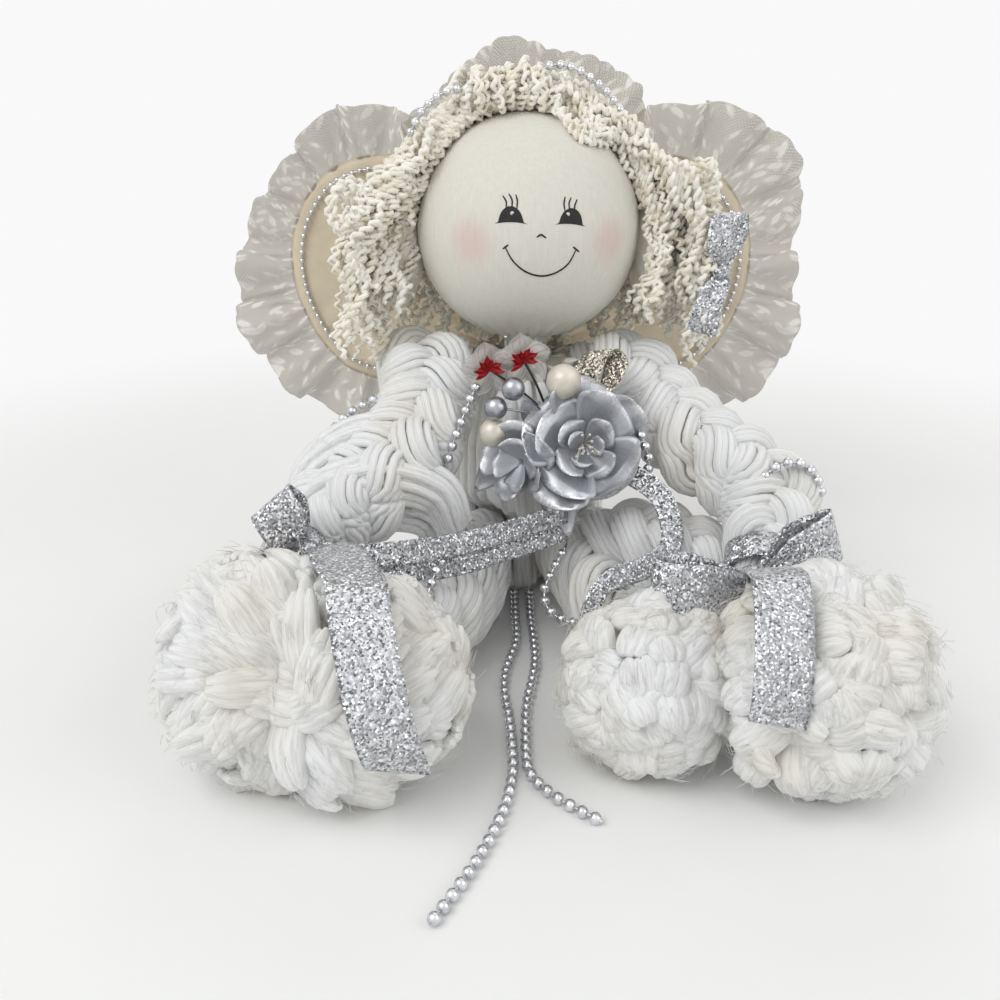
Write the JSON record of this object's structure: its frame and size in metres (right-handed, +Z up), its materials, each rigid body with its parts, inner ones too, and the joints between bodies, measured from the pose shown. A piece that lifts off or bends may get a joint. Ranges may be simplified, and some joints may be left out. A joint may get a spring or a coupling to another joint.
{
  "type": "angel doll ornament",
  "caption": "Sitting angel doll of braided white roving with a stuffed cloth head, yarn hair, lace-edged cloth wings, a silver flower corsage, wrist bows and trailing bead garland.",
  "frame": {"origin": "middle of the flat seat, on the surface the doll sits on", "axes": "+Z up, the doll faces -Y, +X to the right of someone who looks at its face"},
  "size_m": [0.3278, 0.3334, 0.279],
  "materials": {
    "muslin": "unbleached cotton muslin, plain weave, matte",
    "filling": "polyester fibre fill",
    "hair_yarn": "crinkled off-white yarn, matte",
    "roving": "soft white roving, slight sheen",
    "lace": "white lace with silvery flower print",
    "wing_cloth": "cream cotton, lightly padded",
    "silver_beads": "metallised beads, bright silver",
    "glitter_ribbon": "silver woven ribbon, glittering",
    "silver_satin": "silver satin with glitter edge",
    "pearl": "pearl lustre",
    "red_floret": "small red florets in pale petals",
    "stem_wire": "fine silvered stamens"
  },
  "bodies": {
    "torso": {"body_roving": "roving", "collar_lace": "lace", "wing_knot": "wing_cloth", "corsage_base": "glitter_ribbon", "flower_outer": "silver_satin", "flower_inner": "silver_satin", "flower_stamens": "stem_wire", "flower_side": "silver_satin", "leaf_lower": "silver_satin", "leaf_side": "silver_satin", "berry_upper": "silver_beads", "berry_lower": "silver_beads", "pearl_left": "pearl", "pearl_right": "pearl", "red_flower_left": "red_floret", "red_flower_right": "red_floret", "glitter_loop": "glitter_ribbon", "streamer_upper": "glitter_ribbon", "streamer_lower": "glitter_ribbon", "streamer_right": "glitter_ribbon", "tail_strand_left": "silver_beads", "tail_strand_right": "silver_beads"},
    "neck": {"neck_stub": "roving", "neck_tie": "glitter_ribbon"},
    "head": {"head_cover": "muslin", "head_stuffing": "filling", "hair_crown": "hair_yarn", "hair_left": "hair_yarn", "hair_right": "hair_yarn", "halo_beads": "silver_beads", "halo_lace": "lace", "hair_ribbon": "glitter_ribbon"},
    "wing_left": {"wing_panel_left": "wing_cloth", "wing_lace_left": "lace", "wing_beads_left": "silver_beads"},
    "wing_right": {"wing_panel_right": "wing_cloth", "wing_lace_right": "lace", "wing_beads_right": "silver_beads"},
    "arm_left": {"arm_braid_left": "roving", "hand_tuft_left": "roving", "wrist_bow_left": "glitter_ribbon", "bow_tail_left": "glitter_ribbon", "arm_beads_left": "silver_beads"},
    "arm_right": {"arm_braid_right": "roving", "hand_tuft_right": "roving", "wrist_bow_right": "glitter_ribbon", "bow_tail_right": "glitter_ribbon", "shoulder_beads_right": "silver_beads", "elbow_beads_right": "silver_beads"},
    "leg_left": {"leg_braid_left": "roving", "foot_tuft_left": "roving", "ankle_tie_left": "roving", "leg_beads_left": "silver_beads"},
    "leg_right": {"leg_braid_right": "roving", "foot_tuft_right": "roving", "ankle_tie_right": "roving", "leg_beads_right": "silver_beads"}
  },
  "joints": [
    {"name": "head_turn", "type": "hinge", "parent": "torso", "child": "neck", "pos_m": [0.002, -0.01, 0.138], "axis": [0, 0, 1], "range_deg": [-15, 15]},
    {"name": "head_nod", "type": "hinge", "parent": "neck", "child": "head", "pos_m": [0.002, -0.01, 0.138], "axis": [1, 0, 0], "range_deg": [0, 10]},
    {"name": "left_arm_raise", "type": "hinge", "parent": "torso", "child": "arm_left", "pos_m": [-0.05, -0.024, 0.125], "axis": [-1, 0, 0], "range_deg": [0, 40], "deforming": ["streamer_upper", "streamer_lower"]},
    {"name": "right_arm_raise", "type": "hinge", "parent": "torso", "child": "arm_right", "pos_m": [0.05, -0.024, 0.125], "axis": [-1, 0, 0], "range_deg": [0, 40], "deforming": ["streamer_right"]},
    {"name": "left_leg_drop", "type": "hinge", "parent": "torso", "child": "leg_left", "pos_m": [-0.029, -0.022, 0.028], "axis": [1, 0, 0], "range_deg": [0, 60], "deforming": ["bow_tail_left"]},
    {"name": "right_leg_drop", "type": "hinge", "parent": "torso", "child": "leg_right", "pos_m": [0.029, -0.022, 0.028], "axis": [1, 0, 0], "range_deg": [0, 60]},
    {"name": "left_wing_fold", "type": "hinge", "parent": "torso", "child": "wing_left", "pos_m": [-0.0094, 0.058, 0.12], "axis": [0, 0, -1], "range_deg": [0, 25]},
    {"name": "right_wing_fold", "type": "hinge", "parent": "torso", "child": "wing_right", "pos_m": [0.0094, 0.058, 0.12], "axis": [0, 0, 1], "range_deg": [0, 25]}
  ]
}
